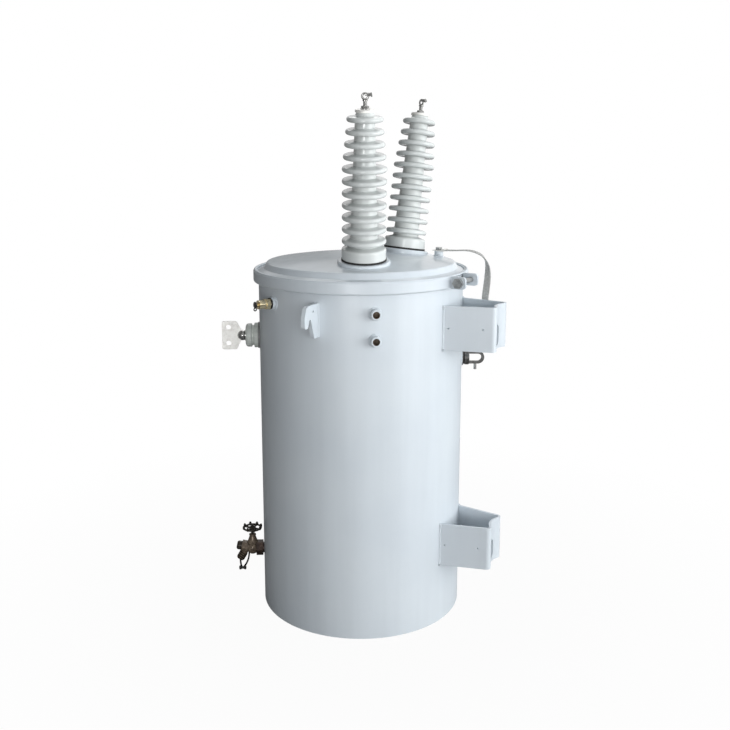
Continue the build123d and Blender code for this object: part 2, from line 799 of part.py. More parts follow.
def drain_handwheel(bonnet_top):
    """Rim with raised grips, four spokes, hub and the stem that enters the bonnet."""
    rim_radius_out = drain_wheel_radius - drain_wheel_lobe_radius / 2
    rim = Circle(rim_radius_out)
    lobe = Pos(drain_wheel_radius - drain_wheel_lobe_radius) * Circle(drain_wheel_lobe_radius)
    for i in range(drain_wheel_lobes):
        rim = rim + Rot(0, 0, 360 * i / drain_wheel_lobes) * lobe
    rim = rim - Circle(rim_radius_out - drain_wheel_rim)
    spoke = Rectangle(2 * drain_wheel_radius - drain_wheel_rim, drain_wheel_spoke_width)
    for i in range(drain_wheel_spokes // 2):
        rim = rim + Rot(0, 0, 360 * i / drain_wheel_spokes) * spoke
    rim = rim + Circle(drain_wheel_hub_radius)
    wheel_low = bonnet_top + drain_stem_length
    wheel = Pos(0, 0, wheel_low) * extrude(rim, drain_wheel_thickness)
    grip_top = drain_wheel_thickness + drain_wheel_grip_rise
    grip = rod(drain_wheel_grip_radius, drain_wheel_thickness / 2, grip_top)
    grip = fillet(grip.edges().group_by(Axis.Z)[-1], drain_wheel_grip_radius / 2)
    grip = Pos(drain_wheel_radius - drain_wheel_lobe_radius, 0, wheel_low) * grip
    for i in range(drain_wheel_lobes):
        wheel = wheel + Rot(0, 0, 360 * i / drain_wheel_lobes) * grip
    stem_top = wheel_low + 2 * drain_wheel_thickness
    stem = rod(drain_stem_radius, bonnet_top - drain_stem_depth, stem_top)
    return wheel + stem


def bend_radii(points):
    """The largest round bend that each corner's two runs leave room for."""
    radii = []
    for before, here, after in zip(points, points[1:], points[2:]):
        turn = radians((here - before).get_angle(after - here))
        run = min((here - before).length, (after - here).length)
        radii.append(bend_share * run / tan(turn / 2))
    return radii


def round_wire(points, radius):
    """A round wire along points chosen by hand, as straight runs and tangent arcs."""
    radii = bend_radii(points)
    path = FilletPolyline(*points, radius=radii)
    print("bend radii", [round(r) for r in radii], "length", round(path.length, 1))
    return sweep(Plane(origin=path @ 0, z_dir=path % 0) * Circle(radius), path=path)


def make_seal():
    """Two thin wires from the outlet and its plug down to the lead seal that closes them."""
    seat = wall_plane(drain_angle, drain_height)
    fall = radians(drain_outlet_fall)
    along = Vector(0, -sin(fall), cos(fall))
    root_fall = radians(seal_root_fall)
    down = Vector(0, -sin(root_fall), cos(root_fall))
    globe = Vector(0, 0, drain_body_distance)
    outlet = Vector(0, 0, drain_body_distance + drain_outlet_offset)
    seal = Vector(0, -seal_drop, seal_distance)
    seal_top = Vector(0, lead_seal_radius + seal_wire_gap, 0)
    reach = Vector(0, 0, lead_seal_length / 4)
    lead = Vector(0, 2 * seal_wire_lead, 0)
    tip = outlet + along * (drain_outlet_length + drain_plug_length + weld_gap)
    outer = [tip, tip + along * seal_wire_lead, seal + reach + seal_top]
    root = globe + down * (drain_body_radius + weld_gap)
    foot = seal - reach + seal_top
    inner = [root, root + down * seal_wire_lead, foot + lead, foot]
    wires = [round_wire(outer, seal_wire_radius), round_wire(inner, seal_wire_radius)]
    parts["seal_wire"] = seat * Compound(children=wires)
    slug = Pos(0, 0, -lead_seal_length / 2) * rod(lead_seal_radius, 0, lead_seal_length)
    parts["lead_seal"] = seat * Pos(*seal) * slug


def make_ground_connector():
    seat = wall_plane(ground_angle, ground_height)
    ring_low = ground_flange_length
    body_low = ring_low + ground_ring_length
    body_top = body_low + ground_body_length
    flange = rod(ground_flange_radius, -ground_flange_length, ground_flange_length)
    parts["ground_pad"] = clear_of_tank(seat * flange)
    parts["ground_ring"] = seat * rod(ground_ring_radius, ring_low, body_low)
    half = ground_loop_width / 2
    straight = ground_loop_reach - half
    inner = half - ground_loop_bar
    bow = Pos(straight, 0) * Circle(half) + Pos(straight / 2, 0) * Rectangle(straight, 2 * half)
    hollow = Pos(straight, 0) * Circle(inner) + Pos(straight / 2, 0) * Rectangle(straight, 2 * inner)
    loop = extrude(Plane.ZY * (bow - hollow), ground_loop_bar / 2, both=True)
    loop = Pos(0, 0, body_top) * loop
    connector = rod(ground_body_radius, body_low, body_top) + loop
    screw = rod(ground_screw_radius, -ground_loop_bar, ground_screw_length)
    screw = Pos(0, -half, body_top + half) * Rot(90, 0, 0) * screw
    parts["ground_connector"] = seat * (connector + screw)


def boss_frame():
    """The top of the cover's ground boss, with local X along the strap's first run."""
    a = radians(cover_boss_angle)
    top = dome_z(cover_boss_distance) + cover_boss_height
    foot = Pos(cover_boss_distance * cos(a), cover_boss_distance * sin(a), top)
    return foot * Rot(0, 0, strap_heading)


def make_cover_ground():
    boss = rod(cover_boss_radius, -2 * cover_boss_height, 0)
    boss = boss - rod(cover_bolt_radius + running_gap, -cover_bolt_depth - running_gap, cut_overrun)
    crown = crown_arc(-weld_gap)
    edge = edge_arc(-weld_gap)
    foot = (cover_edge_radius + weld_gap, 0, tank_height)
    close = Polyline(edge @ 1, foot, (0, 0, tank_height), crown @ 0)
    filled = revolve(make_face([crown, edge, *close.edges()]), Axis.Z)
    parts["cover_ground_boss"] = boss_frame() * boss - filled
    head = hex_bar(cover_bolt_flats, strap_lug_thickness, strap_lug_thickness + cover_bolt_head)
    shank = rod(cover_bolt_radius, -cover_bolt_depth, strap_lug_thickness)
    parts["cover_ground_bolt"] = boss_frame() * (head + shank)


def strap_lug():
    """A flat drilled tab with a ferrule on one end; local X points along the strap."""
    middle = (Align.CENTER, Align.CENTER, Align.MIN)
    start = (Align.MIN, Align.CENTER, Align.MIN)
    tab = Box(strap_lug_length, strap_width, strap_lug_thickness, align=middle)
    ferrule = Box(strap_ferrule_length, strap_width, strap_ferrule_thickness, align=start)
    hole = rod(cover_bolt_radius + running_gap, -cut_overrun, cut_overrun)
    return tab + Pos(strap_lug_length / 2) * ferrule - hole


def make_strap():
    """Bonding strap from the cover boss over the clamp band to the upper hanger's right cheek."""
    high = boss_frame()
    low = cheek_plane(strap_bolt_distance, strap_bolt_height)
    low_lug = low.location * Rot(0, 0, 90)
    parts["strap_lugs"] = Compound(children=[high * strap_lug(), low_lug * strap_lug()])
    head = hex_bar(cover_bolt_flats, strap_lug_thickness, strap_lug_thickness + cover_bolt_head)
    nut = hex_bar(cover_bolt_flats, -hanger_plate - strap_nut_height, -hanger_plate)
    shank = rod(cover_bolt_radius, -hanger_plate, strap_lug_thickness)
    parts["strap_bolt"] = low * (head + nut + shank)
    reach = strap_lug_length / 2 + strap_ferrule_length + strap_end_gap
    tip = Pos(reach, 0, strap_ferrule_thickness / 2)
    route = [Vector(*point) for point in strap_route]
    points = [(high * tip).position, *route, (low_lug * tip).position]
    parts["ground_strap"] = round_wire(points, strap_tube_radius)


make_tank()
make_cover()
make_band()
make_hv_bushings()
make_hangers()
make_lifting_lugs()
make_arrester_bosses()
make_relief_valve()
make_lv_bushings()
make_drain_valve()
make_seal()
make_ground_connector()
make_cover_ground()
make_strap()

os.makedirs("parts", exist_ok=True)
for name, solid in parts.items():
    export_step(solid, "parts/" + name + ".step")
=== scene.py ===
"""Looks of a pole mounted transformer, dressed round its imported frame.

Lengths are metres in the part's own frame: +Z up the tank's axis, +X towards the pole.
Places round the tank are degrees from +X, with the left pieces at minus and the right at plus.
"""

import json
from contextlib import contextmanager
from math import cos, degrees, pi, radians, sin, sqrt

import bpy
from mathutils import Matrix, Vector


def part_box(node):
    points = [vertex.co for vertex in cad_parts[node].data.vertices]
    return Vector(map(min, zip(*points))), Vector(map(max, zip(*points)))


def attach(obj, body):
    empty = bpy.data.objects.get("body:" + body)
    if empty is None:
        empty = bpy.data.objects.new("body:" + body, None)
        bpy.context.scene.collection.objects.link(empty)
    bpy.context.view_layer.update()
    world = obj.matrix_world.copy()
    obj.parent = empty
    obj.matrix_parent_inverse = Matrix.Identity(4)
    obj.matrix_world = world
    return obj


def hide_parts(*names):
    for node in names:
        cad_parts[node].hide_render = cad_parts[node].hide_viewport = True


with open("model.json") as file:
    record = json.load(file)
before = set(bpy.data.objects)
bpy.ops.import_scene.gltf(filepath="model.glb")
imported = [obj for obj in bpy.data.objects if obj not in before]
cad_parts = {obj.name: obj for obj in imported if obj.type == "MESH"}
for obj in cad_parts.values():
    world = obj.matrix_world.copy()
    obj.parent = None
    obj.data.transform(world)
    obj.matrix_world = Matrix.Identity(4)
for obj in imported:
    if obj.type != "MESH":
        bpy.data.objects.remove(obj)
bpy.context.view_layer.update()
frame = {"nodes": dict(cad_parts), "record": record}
nodes = frame["nodes"]

# Places on the tank that more than one piece uses
TANK_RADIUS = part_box("tank_wall")[1].x
ARRESTER_SIDE = {"left": -58, "right": 58}
ARRESTER_HIGH, ARRESTER_LOW = 0.865, 0.798
RELIEF_SIDE, RELIEF_LEVEL = -119, 0.873
GROUND_SIDE, GROUND_LEVEL = 24.5, 0.6935


def outward(degree):
    """The direction straight out from the tank's axis."""
    return Vector((cos(radians(degree)), sin(radians(degree)), 0))


def on_wall(degree, height, out=0.0):
    """A point on the tank wall, or that far out from it."""
    spot = outward(degree) * (TANK_RADIUS + out)
    spot.z = height
    return spot


def wall_ring(degree, height, radius, count=40):
    """A ring of points round a boss on the wall."""
    spots = []
    for step in range(count):
        turn = 2 * pi * step / count
        swing = degrees(radius * cos(turn) / TANK_RADIUS)
        spots.append(on_wall(degree + swing, height + radius * sin(turn)))
    return spots


def levels(low, high, steps):
    """Even heights from low to high."""
    return [low + (high - low) * step / steps for step in range(steps + 1)]


# Hand tools

def deselect():
    """Put everything down, so that a tool acts on nothing else."""
    bpy.ops.object.select_all(action="DESELECT")


def take(piece):
    """Select one piece alone."""
    deselect()
    piece.select_set(True)
    bpy.context.view_layer.objects.active = piece


def made(name):
    """The piece just added, under its own name."""
    piece = bpy.context.object
    piece.name = name
    piece.data.name = name
    return piece


@contextmanager
def editing(piece):
    """Edit mode, with the whole mesh of one piece selected."""
    take(piece)
    bpy.ops.object.mode_set(mode="EDIT")
    bpy.ops.mesh.select_all(action="SELECT")
    yield
    bpy.ops.object.mode_set(mode="OBJECT")


def modifier(piece, kind, **settings):
    """Add one modifier, set it and apply it."""
    take(piece)
    added = piece.modifiers.new(kind.lower(), kind)
    for key, value in settings.items():
        setattr(added, key, value)
    bpy.ops.object.modifier_apply(modifier=added.name)


def settle(piece):
    """Put the place of a piece into its mesh."""
    take(piece)
    bpy.ops.object.transform_apply(location=True, rotation=True, scale=True)


def set_at(piece, spot, turn=(0, 0, 0)):
    """Turn a piece, move it to its spot and put both into its mesh."""
    piece.rotation_euler = turn
    piece.location = spot
    settle(piece)
    return piece


def stand(piece, spot, out):
    """Stand a piece that was made along Z on a spot, with its Z pointing out."""
    return set_at(piece, spot, Vector(out).to_track_quat("Z", "Y").to_euler())


def close_up(piece):
    """Merge doubles and turn every face outwards."""
    with editing(piece):
        bpy.ops.mesh.remove_doubles(threshold=0.000001)
        bpy.ops.mesh.normals_make_consistent(inside=False)


def round_off(piece, angle):
    """Shade smooth, with edges sharper than the angle kept."""
    take(piece)
    bpy.ops.object.shade_smooth_by_angle(angle=radians(angle))


def join(name, pieces):
    """Join pieces into one."""
    deselect()
    for piece in pieces:
        piece.select_set(True)
    bpy.context.view_layer.objects.active = pieces[0]
    bpy.ops.object.join()
    return made(name)


def all_round(piece, count):
    """The piece and its turned copies about Z, each with its own mesh."""
    turned = [piece]
    for step in range(1, count):
        take(piece)
        bpy.ops.object.duplicate(linked=False)
        turned.append(set_at(bpy.context.object, (0, 0, 0), (0, 0, 2 * pi * step / count)))
    return turned


def link(name, data):
    """A new object in the scene for a curve or a mesh."""
    holder = bpy.data.objects.new(name, data)
    bpy.context.scene.collection.objects.link(holder)
    return holder


def new_curve(name):
    """An empty curve in space."""
    curve = bpy.data.curves.new(name, "CURVE")
    curve.dimensions = "3D"
    return curve


def add_spline(curve, kind, spots):
    """A spline through a line of points."""
    spline = curve.splines.new(kind)
    spline.points.add(len(spots) - 1)
    for point, spot in zip(spline.points, spots):
        point.co = (*spot, 1.0)
    return spline


def dress(piece, slot, own=None, body="tank"):
    """Give a new piece the finish of its slot, or its own finish, and the body that carries it."""
    piece.data.materials.clear()
    piece.data.materials.append(own or FINISHES[slot])
    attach(piece, body)
    return piece


# Nodes of a finish

def finish(name, **sockets):
    """A material with the shader's constant sockets set."""
    material = bpy.data.materials.new(name)
    material.use_nodes = True
    shader = material.node_tree.nodes["Principled BSDF"]
    for key, value in sockets.items():
        shader.inputs[key.replace("_", " ")].default_value = value
    return material


def add(material, kind, inputs=None, **settings):
    """Add one node; an input is a number or the socket that feeds it."""
    tree = material.node_tree
    node = tree.nodes.new("ShaderNode" + kind)
    for key, value in settings.items():
        setattr(node, key, value)
    for key, value in (inputs or {}).items():
        if isinstance(value, bpy.types.NodeSocket):
            tree.links.new(value, node.inputs[key])
        else:
            node.inputs[key].default_value = value
    return node


def place(material, stretch=(1, 1, 1), turn=(0, 0, 0)):
    """Object coordinates, stretched and turned for one pattern."""
    source = add(material, "TexCoord").outputs["Object"]
    mapping = add(material, "Mapping", {"Vector": source, "Scale": stretch, "Rotation": turn})
    return mapping.outputs["Vector"]


def noise(material, where, scale, detail, rough=0.5):
    """A cloudy pattern."""
    inputs = {"Vector": where, "Scale": scale, "Detail": detail, "Roughness": rough}
    return add(material, "TexNoise", inputs).outputs["Fac"]


def ramp(material, fac, *stops):
    """A colour ramp; each stop is a place and a colour or a grey."""
    node = add(material, "ValToRGB", {"Fac": fac})
    marks = node.color_ramp.elements
    while len(marks) < len(stops):
        marks.new(0.5)
    for mark, (at, colour) in zip(marks, stops):
        mark.position = at
        mark.color = (*colour, 1) if isinstance(colour, tuple) else (colour, colour, colour, 1)
    return node.outputs["Color"]


def remap(material, value, first, last, low, high):
    """Stretch a value from first..last to low..high."""
    inputs = {"Value": value, "From Min": first, "From Max": last, "To Min": low, "To Max": high}
    return add(material, "MapRange", inputs).outputs["Result"]


def span(material, pattern, low, high):
    """Stretch the middle of a pattern to low..high."""
    return remap(material, pattern, 0.3, 0.7, low, high)


def reckon(material, operation, *values):
    """One step of arithmetic on numbers or sockets."""
    return add(material, "Math", dict(enumerate(values)), operation=operation).outputs[0]


def blend(material, first, second, fac, kind="MIX"):
    """Two colours mixed."""
    inputs = {0: fac, 6: first, 7: second}
    return add(material, "Mix", inputs, data_type="RGBA", blend_type=kind).outputs[2]


def feed(material, socket, output):
    """Lead an output into the shader."""
    shader = material.node_tree.nodes["Principled BSDF"]
    material.node_tree.links.new(output, shader.inputs[socket])


def relief(material, *layers):
    """Bump from several heights, each with its depth in metres and its strength."""
    normal = None
    for height, depth, strength in layers:
        inputs = {"Height": height, "Distance": depth, "Strength": strength}
        if normal is not None:
            inputs["Normal"] = normal
        normal = add(material, "Bump", inputs).outputs["Normal"]
    feed(material, "Normal", normal)


# Finishes

def tank_paint(name, smooth, dull):
    """Satin powder paint: orange peel, faint streaks and handling marks."""
    paint = finish(name, Metallic=0.0, Specular_IOR_Level=0.5)
    whole = place(paint)
    light, lighter = (0.590, 0.640, 0.685), (0.630, 0.678, 0.716)
    colour = ramp(paint, noise(paint, whole, 5.0, 4.0), (0.3, light), (0.7, lighter))
    streaks = noise(paint, place(paint, stretch=(26, 26, 1.6)), 1.0, 3.0)
    colour = blend(paint, colour, ramp(paint, streaks, (0.35, 0.965), (0.62, 1.0)), 1.0, "MULTIPLY")
    specks = noise(paint, whole, 420.0, 1.0)
    colour = blend(paint, colour, ramp(paint, specks, (0.24, 0.96), (0.34, 1.0)), 1.0, "MULTIPLY")
    marks = noise(paint, place(paint, stretch=(9, 9, 5)), 3.2, 8.0, 0.72)
    scuff = reckon(paint, "MULTIPLY", ramp(paint, marks, (0.66, 0.0), (0.74, 1.0)), 0.08)
    feed(paint, "Base Color", blend(paint, colour, (0.47, 0.50, 0.52, 1), scuff))
    feed(paint, "Roughness", span(paint, noise(paint, whole, 38.0, 4.0), smooth, dull))
    peel = (noise(paint, whole, 320.0, 2.0), 0.0004, 0.10)
    waves = (noise(paint, whole, 14.0, 2.0), 0.002, 0.05)
    relief(paint, peel, waves)
    return paint


def glaze():
    """Light grey porcelain under a clear glaze, with fine iron specks."""
    porcelain = finish("porcelain", Metallic=0.0, Coat_Weight=0.55, Coat_Roughness=0.06,
                       Specular_IOR_Level=0.5)
    whole = place(porcelain)
    grey, paler = (0.575, 0.60, 0.592), (0.635, 0.658, 0.648)
    colour = ramp(porcelain, noise(porcelain, whole, 22.0, 4.0), (0.3, grey), (0.7, paler))
    cells = add(porcelain, "TexVoronoi", {"Vector": whole, "Scale": 230.0}).outputs["Distance"]
    specks = ramp(porcelain, cells, (0.05, 0.72), (0.10, 1.0))
    feed(porcelain, "Base Color", blend(porcelain, colour, specks, 0.6, "MULTIPLY"))
    feed(porcelain, "Roughness", span(porcelain, noise(porcelain, whole, 60.0, 3.0), 0.16, 0.26))
    relief(porcelain, (noise(porcelain, whole, 55.0, 2.0), 0.0012, 0.06))
    return porcelain


def moulded_grey():
    """Matt grey moulded bushing body."""
    grey = finish("bushing_grey", Metallic=0.0, Specular_IOR_Level=0.45)
    whole = place(grey)
    dull, paler = (0.50, 0.53, 0.50), (0.59, 0.62, 0.585)
    colour = ramp(grey, noise(grey, whole, 60.0, 4.0), (0.3, dull), (0.7, paler))
    specks = ramp(grey, noise(grey, whole, 700.0, 1.0), (0.30, 0.82), (0.42, 1.0))
    feed(grey, "Base Color", blend(grey, colour, specks, 1.0, "MULTIPLY"))
    feed(grey, "Roughness", span(grey, noise(grey, whole, 90.0, 3.0), 0.34, 0.5))
    relief(grey, (noise(grey, whole, 500.0, 2.0), 0.0003, 0.15))
    return grey


def zinc():
    """Hot dipped steel with grey spangles."""
    steel = finish("galvanized_steel", Metallic=0.8)
    whole = place(steel)
    spangle = add(steel, "TexVoronoi", {"Vector": whole, "Scale": 190.0}).outputs["Color"]
    tone = add(steel, "SeparateColor", {"Color": spangle}).outputs[0]
    colour = ramp(steel, tone, (0.0, (0.30, 0.31, 0.31)), (1.0, (0.45, 0.46, 0.46)))
    feed(steel, "Base Color", colour)
    feed(steel, "Roughness", span(steel, tone, 0.36, 0.52))
    relief(steel, (noise(steel, whole, 480.0, 3.0), 0.0003, 0.2))
    return steel


def turned_brass():
    """Turned brass; the tool marks run round the relief valve's axis."""
    brass = finish("brass", Metallic=1.0)
    whole = place(brass)
    lathe = place(brass, turn=(0, 0, radians(-RELIEF_SIDE)))
    lines = {"Vector": lathe, "Scale": 420.0, "Distortion": 0.6, "Detail": 1.0}
    marks = add(brass, "TexWave", lines, bands_direction="X").outputs["Fac"]
    gold, paler = (0.88, 0.72, 0.44), (0.97, 0.86, 0.60)
    feed(brass, "Base Color", ramp(brass, noise(brass, whole, 40.0, 3.0), (0.3, gold), (0.7, paler)))
    feed(brass, "Roughness", span(brass, noise(brass, whole, 60.0, 3.0), 0.20, 0.30))
    relief(brass, (marks, 0.0001, 0.10))
    return brass


def mottled(name, tint, stops, shine, grain, **sockets):
    """A mottled finish: a tint over colour stops, an uneven shine and a fine grain.

    tint is scale, detail and roughness of the mottling; shine is scale, detail and the roughness
    from low to high; grain is scale, detail, depth and strength of the bump, or None.
    """
    material = finish(name, **sockets)
    whole = place(material)
    feed(material, "Base Color", ramp(material, noise(material, whole, *tint), *stops))
    scale, detail, low, high = shine
    feed(material, "Roughness", span(material, noise(material, whole, scale, detail), low, high))
    if grain:
        scale, detail, depth, strength = grain
        relief(material, (noise(material, whole, scale, detail), depth, strength))
    return material


def rubber(name, dark, bloom):
    """Gasket rubber with a dusty bloom."""
    return mottled(
        name, (70.0, 5.0, 0.5), ((0.35, dark), (0.75, bloom)),
        shine=(120.0, 3.0, 0.55, 0.78), grain=(900.0, 2.0, 0.0003, 0.3),
        Metallic=0.0, Specular_IOR_Level=0.35)


def tin_plate():
    """Tin on copper: pale, mottled and softly worn."""
    worn, pale, bright = (0.72, 0.70, 0.66), (0.86, 0.845, 0.81), (0.95, 0.94, 0.91)
    return mottled(
        "tinned_copper", (95.0, 6.0, 0.65), ((0.3, worn), (0.5, pale), (0.72, bright)),
        shine=(160.0, 4.0, 0.34, 0.56), grain=(620.0, 3.0, 0.0003, 0.2), Metallic=0.25)


def dark_iron():
    """Blackened casting, worn bright in spots."""
    black, grey, worn = (0.045, 0.044, 0.042), (0.10, 0.10, 0.096), (0.34, 0.33, 0.31)
    return mottled(
        "dark_iron", (120.0, 5.0, 0.6), ((0.3, black), (0.6, grey), (0.78, worn)),
        shine=(180.0, 4.0, 0.26, 0.46), grain=(420.0, 3.0, 0.0005, 0.3), Metallic=0.7)


def wheel_black():
    """Almost black painted casting of the handwheel."""
    black, brown = (0.010, 0.008, 0.006), (0.040, 0.033, 0.024)
    return mottled(
        "wheel_black", (95.0, 5.0, 0.5), ((0.35, black), (0.75, brown)),
        shine=(150.0, 4.0, 0.42, 0.62), grain=(480.0, 3.0, 0.0005, 0.3),
        Metallic=0.1, Specular_IOR_Level=0.35)


def polished_nut():
    """Bright nut that mirrors the room, with fine turning marks."""
    steel, paler = (0.27, 0.27, 0.26), (0.44, 0.44, 0.43)
    return mottled(
        "polished_nut", (130.0, 4.0, 0.5), ((0.3, steel), (0.7, paler)),
        shine=(210.0, 3.0, 0.16, 0.26), grain=(700.0, 2.0, 0.0002, 0.12), Metallic=1.0)


def cast_bronze(name, dark, middle, light):
    """Sand cast bronze, brown with age and lighter on the high spots."""
    return mottled(
        name, (75.0, 6.0, 0.6), ((0.3, dark), (0.52, middle), (0.7, light)),
        shine=(130.0, 4.0, 0.26, 0.46), grain=(540.0, 3.0, 0.0006, 0.35),
        Metallic=0.4, Specular_IOR_Level=0.5)


def braid_wire():
    """Fine tinned wires of the bonding strap."""
    dull, bright = (0.40, 0.40, 0.39), (0.59, 0.59, 0.575)
    return mottled(
        "braid", (230.0, 4.0, 0.5), ((0.3, dull), (0.7, bright)),
        shine=(300.0, 3.0, 0.4, 0.58), grain=(1500.0, 1.0, 0.0003, 0.4), Metallic=0.35)


def soft_lead():
    """Dull lead of the seal and its dark wires."""
    return mottled(
        "lead", (160.0, 4.0, 0.5), ((0.3, 0.012), (0.75, 0.05)),
        shine=(220.0, 3.0, 0.5, 0.7), grain=(380.0, 3.0, 0.0005, 0.3),
        Metallic=0.4, Specular_IOR_Level=0.4)


def inner_oil():
    """Amber mineral oil round core and coils, sealed inside."""
    amber, honey = (0.33, 0.20, 0.05), (0.40, 0.26, 0.08)
    return mottled(
        "oil", (8.0, 3.0, 0.5), ((0.3, amber), (0.7, honey)),
        shine=(20.0, 2.0, 0.1, 0.2), grain=None, Metallic=0.0, IOR=1.47)


FINISHES = {
    "tank_paint": tank_paint("tank_paint", 0.28, 0.38),
    "porcelain": glaze(),
    "bushing_grey": moulded_grey(),
    "black_rubber": rubber("black_rubber", 0.014, 0.042),
    "tinned_copper": tin_plate(),
    "galvanized_steel": zinc(),
    "brass": turned_brass(),
    "bronze": cast_bronze("bronze", (0.045, 0.032, 0.022), (0.14, 0.105, 0.075), (0.27, 0.215, 0.16)),
    "braid": braid_wire(),
    "lead": soft_lead(),
    "oil": inner_oil(),
}
DARK_IRON = dark_iron()
WHEEL_BLACK = wheel_black()
POLISHED_NUT = polished_nut()
DARK_BRONZE = cast_bronze(
    "dark_bronze", (0.009, 0.006, 0.004), (0.024, 0.017, 0.011), (0.09, 0.070, 0.050))
RED_BRONZE = cast_bronze(
    "reddish_bronze", (0.014, 0.007, 0.005), (0.040, 0.022, 0.015), (0.11, 0.065, 0.048))
DUSTY_RUBBER = rubber("dusty_rubber", 0.19, 0.29)
OWN_FINISH = {
    "cover": tank_paint("cover_paint", 0.12, 0.20),
    "drain_nipple": RED_BRONZE,
    "drain_end_cap": DARK_BRONZE,
    "drain_plug": DARK_BRONZE,
    "lv_gasket_left": DUSTY_RUBBER,
    "lv_gasket_right": DUSTY_RUBBER,
    "ground_connector": POLISHED_NUT,
}

for row in frame["record"]["subparts"]:
    cad_mesh = nodes[row["node"]].data
    cad_mesh.materials.clear()
    cad_mesh.materials.append(OWN_FINISH.get(row["node"], FINISHES[row["material_slot"]]))

for node in nodes.values():
    round_off(node, 32)


# Camera

CAMERA_PLACE = (1.0608, -2.3008, 1.2767)
CAMERA_TURN = (radians(79.293), 0.0, radians(24.5))

deselect()
bpy.ops.object.camera_add(location=CAMERA_PLACE, rotation=CAMERA_TURN)
camera = made("camera")
camera.data.sensor_width = 36.0
camera.data.lens = 46.2
camera.data.shift_y = -0.0616
bpy.context.scene.camera = camera


# Bonding strap from the cover to the upper hanger, a flat woven braid

STRAP_ROUTE = (
    (0.19584, 0.13923, 0.98556), (0.2165, 0.1348, 0.9858), (0.2421, 0.1294, 0.9887),
    (0.2687, 0.1240, 0.9897), (0.2943, 0.1186, 0.9853), (0.3132, 0.1137, 0.9735),
    (0.3236, 0.1088, 0.9548), (0.3276, 0.1024, 0.9321), (0.3292, 0.0925, 0.9095),
    (0.3306, 0.0797, 0.8888), (0.3317, 0.0692, 0.8701), (0.33216, 0.06715, 0.8489),
)
STRAP_WIDTH = 0.022
STRAP_THICKNESS = 0.0032
STRAP_ON_COVER = Vector((0.2079, 0.9781, 0.0))
STRAP_ON_HANGER = Vector((-0.9822, 0.1876, 0.0))
TWIST_FROM, TWIST_TO = 0.25, 0.80
STRANDS = 9
STRAND_RADIUS = 0.0009
BRAID_PITCH = 0.040
WEAVE_LIFT = 0.45 * STRAND_RADIUS
CORE_SIDES = 10


def strap_line():
    """Points read from the strap's own smooth spline."""
    line = new_curve("strap_line")
    spline = add_spline(line, "NURBS", STRAP_ROUTE)
    spline.order_u = 3
    spline.use_endpoint_u = True
    spline.resolution_u = 14
    holder = link("strap_line", line)
    mesh = bpy.data.meshes.new_from_object(holder)
    points = [vertex.co.copy() for vertex in mesh.vertices]
    bpy.data.objects.remove(holder)
    bpy.data.meshes.remove(mesh)
    bpy.data.curves.remove(line)
    return points


def strap_stations(points):
    """For each point: how far along, the point, the width and the thickness directions."""
    runs = [0.0]
    for first, second in zip(points, points[1:]):
        runs.append(runs[-1] + (second - first).length)
    stations = []
    for index, point in enumerate(points):
        ahead = points[min(index + 1, len(points) - 1)]
        behind = points[max(index - 1, 0)]
        along = (ahead - behind).normalized()
        share = (runs[index] / runs[-1] - TWIST_FROM) / (TWIST_TO - TWIST_FROM)
        share = min(max(share, 0.0), 1.0)
        share = share * share * (3 - 2 * share)
        across = STRAP_ON_COVER.lerp(STRAP_ON_HANGER, share)
        across = (across - along * across.dot(along)).normalized()
        stations.append((runs[index], point, across, across.cross(along).normalized()))
    return stations


def tube_from(name, lines, radius):
    """A bundle of round strands along lines of points, as one mesh."""
    bundle = new_curve(name)
    bundle.bevel_depth = radius
    bundle.bevel_resolution = 1
    bundle.use_fill_caps = True
    for spots in lines:
        add_spline(bundle, "POLY", spots)
    take(link(name, bundle))
    bpy.ops.object.convert(target="MESH")
    return bpy.context.object


def strap_strands(stations, half, deep):
    """Lines of points for strands that go over and under each other, both ways round the core."""
    strands = []
    for lean in (1, -1):
        for number in range(STRANDS):
            spots = []
            for run, point, across, out in stations:
                turn = (lean * run / BRAID_PITCH + number / STRANDS) % 1.0
                side = 1 if turn < 0.5 else -1
                over = -1 + 4 * turn if turn < 0.5 else 3 - 4 * turn
                weave = lean * WEAVE_LIFT * cos(2 * pi * STRANDS * run / BRAID_PITCH)
                height = side * (deep * sqrt(max(0.0, 1 - over * over)) + weave)
                spots.append(point + across * over * half + out * height)
            strands.append(spots)
    return strands


def strap_core(stations, half, deep):
    """Flat core that closes the gaps between the strands."""
    turns = [2 * pi * step / CORE_SIDES for step in range(CORE_SIDES)]
    ring = [(cos(turn) * half, sin(turn) * deep) for turn in turns]
    spots = [point + across * u + out * v for _, point, across, out in stations for u, v in ring]
    last = CORE_SIDES * (len(stations) - 1)
    faces = []
    for row in range(0, last, CORE_SIDES):
        ahead = row + CORE_SIDES
        for k in range(CORE_SIDES):
            beside = (k + 1) % CORE_SIDES
            faces.append((row + k, row + beside, ahead + beside, ahead + k))
    faces.append(tuple(range(CORE_SIDES)))
    faces.append(tuple(range(last, last + CORE_SIDES)))
    core = bpy.data.meshes.new("strap_core")
    core.from_pydata(spots, [], faces)
    return link("strap_core", core)


def bonding_strap():
    """The woven strap that ends on the hanger, in place of the imported strap."""
    points = strap_line()
    stations = strap_stations(points)
    half = STRAP_WIDTH / 2 - STRAND_RADIUS
    deep = STRAP_THICKNESS / 2 - STRAND_RADIUS
    weave = tube_from("strap_strands", strap_strands(stations, half, deep), STRAND_RADIUS)
    strap = join("bonding_strap", [weave, strap_core(stations, half, deep)])
    close_up(strap)
    round_off(strap, 60)
    dress(strap, "braid")
    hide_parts("ground_strap")


bonding_strap()


# Weld beads: one ripple, repeated along the joint

